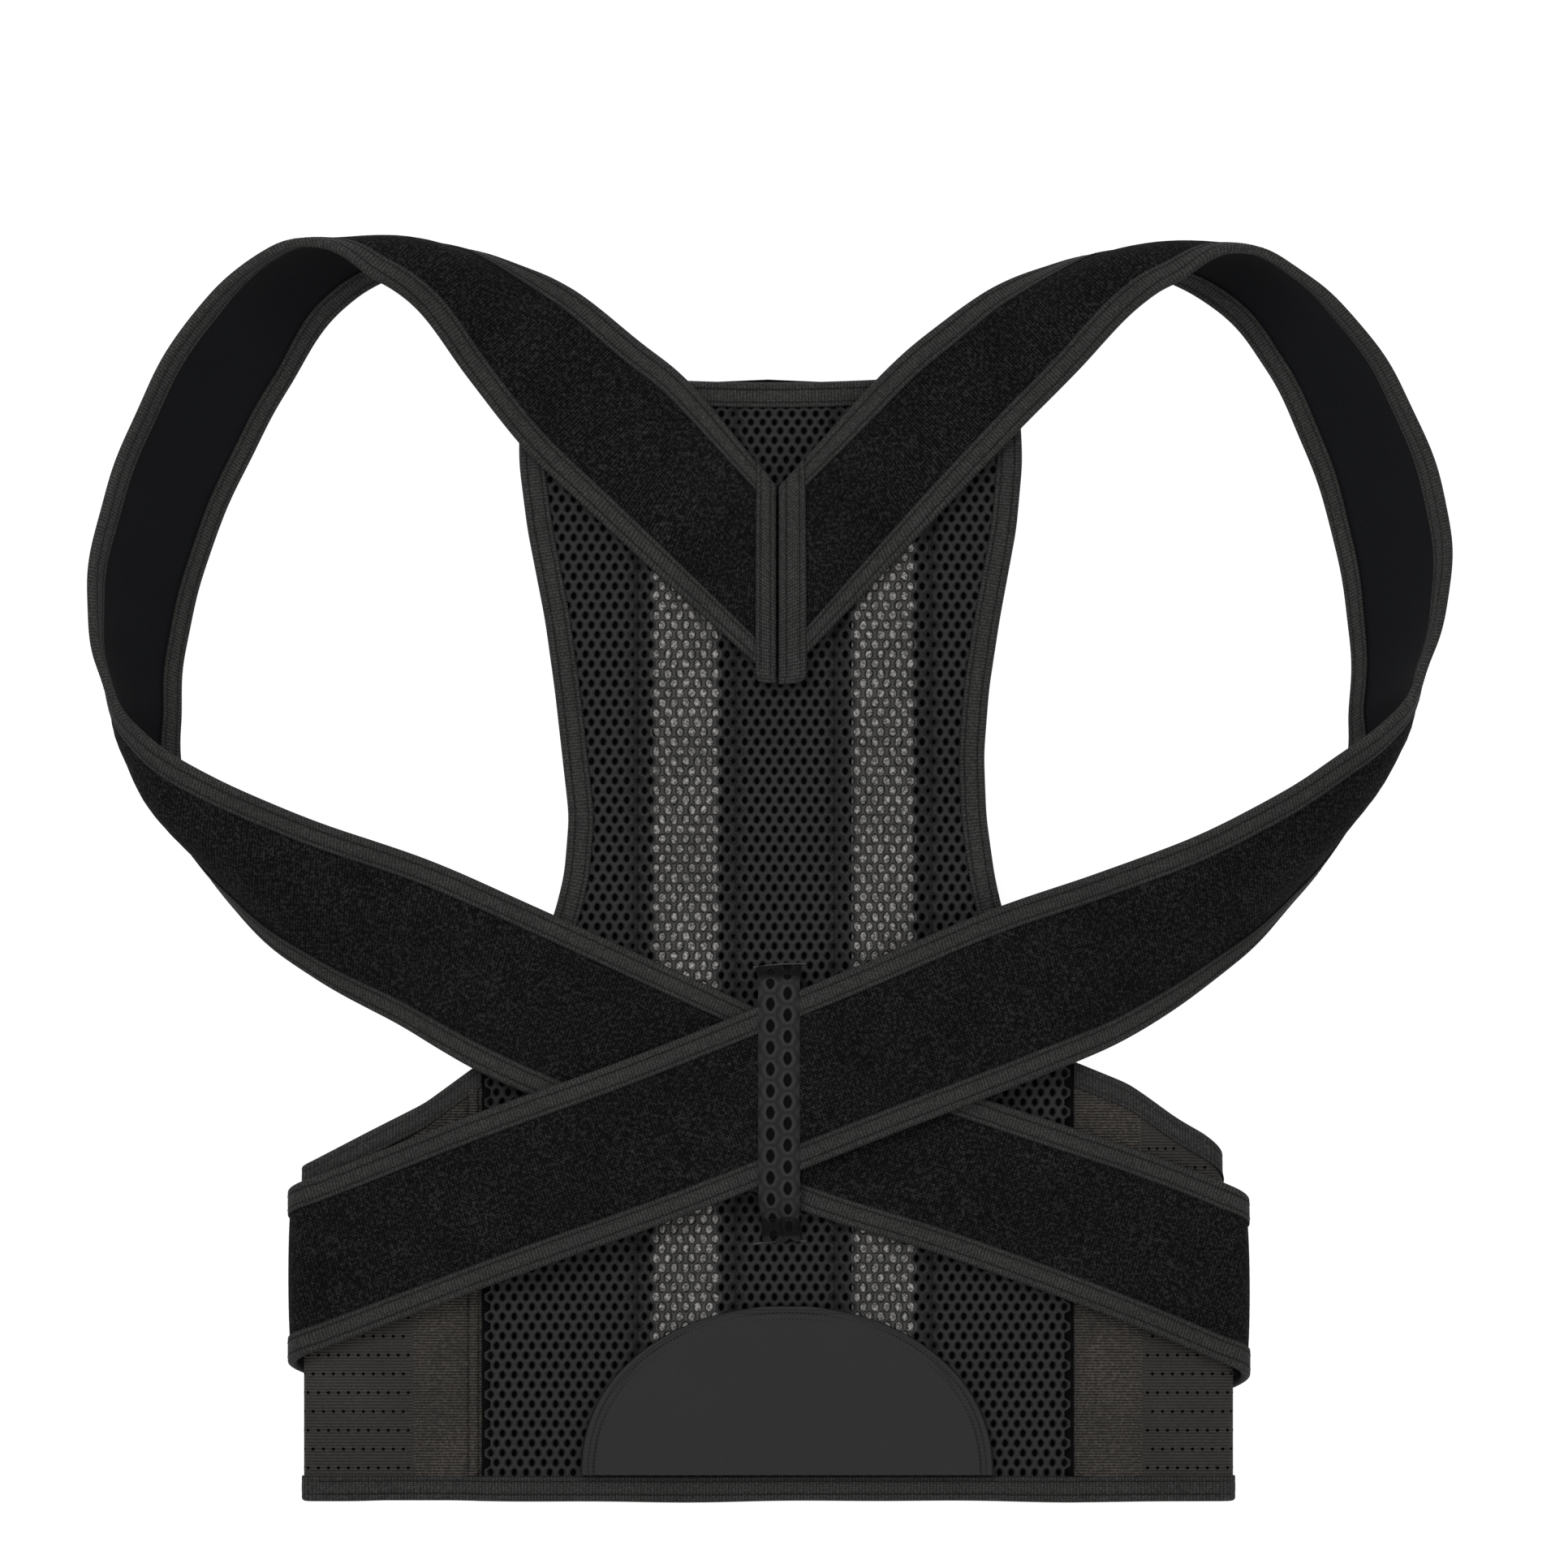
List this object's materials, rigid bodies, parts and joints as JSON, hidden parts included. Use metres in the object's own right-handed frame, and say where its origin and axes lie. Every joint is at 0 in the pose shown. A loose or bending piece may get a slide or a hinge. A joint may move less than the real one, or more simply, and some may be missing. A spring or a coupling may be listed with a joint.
{
  "type": "posture corrector",
  "caption": "Back and shoulder brace: mesh back panel with stays, wrap-round elastic waist belt, and padded straps that loop over both shoulders and cross behind.",
  "frame": {"origin": "middle of the footprint of the whole brace as it lies, on the surface it lies on", "axes": "+X across the back towards the right of the picture, +Y from the hem up to the shoulders, +Z out of the outer side"},
  "size_m": [0.5862, 0.545, 0.0571],
  "materials": {
    "loop_fabric": "brushed loop cloth, matt",
    "edge_tape": "woven tape, satin matt",
    "spacer_mesh": "open knitted mesh",
    "lining": "smooth matt cloth",
    "elastic": "ribbed elastic, matt",
    "ribbed_strip": "corded ribs, matt",
    "smooth_patch": "smooth faced cloth, soft sheen",
    "stay": "light grey, satin",
    "hook": "hook tape"
  },
  "bodies": {
    "root": {"back_panel": "lining", "panel_mesh": "spacer_mesh", "stay_left": "stay", "stay_right": "stay", "panel_binding": "edge_tape", "lumbar_patch": "smooth_patch", "keeper": "spacer_mesh", "hem_binding": "edge_tape", "boning_channel_left": "ribbed_strip", "hook_patch": "hook", "ribbed_strip_left": "ribbed_strip", "elastic_left": "elastic", "belt_binding_left": "edge_tape", "strap_left": "loop_fabric", "neck_tape_left": "edge_tape", "arm_tape_left": "edge_tape", "yoke_tape_left": "edge_tape", "hook_tab_left": "hook", "ribbed_strip_right": "ribbed_strip", "elastic_right": "elastic", "belt_binding_right": "edge_tape", "strap_right": "loop_fabric", "neck_tape_right": "edge_tape", "arm_tape_right": "edge_tape", "yoke_tape_right": "edge_tape", "hook_tab_right": "hook"}
  },
  "joints": []
}
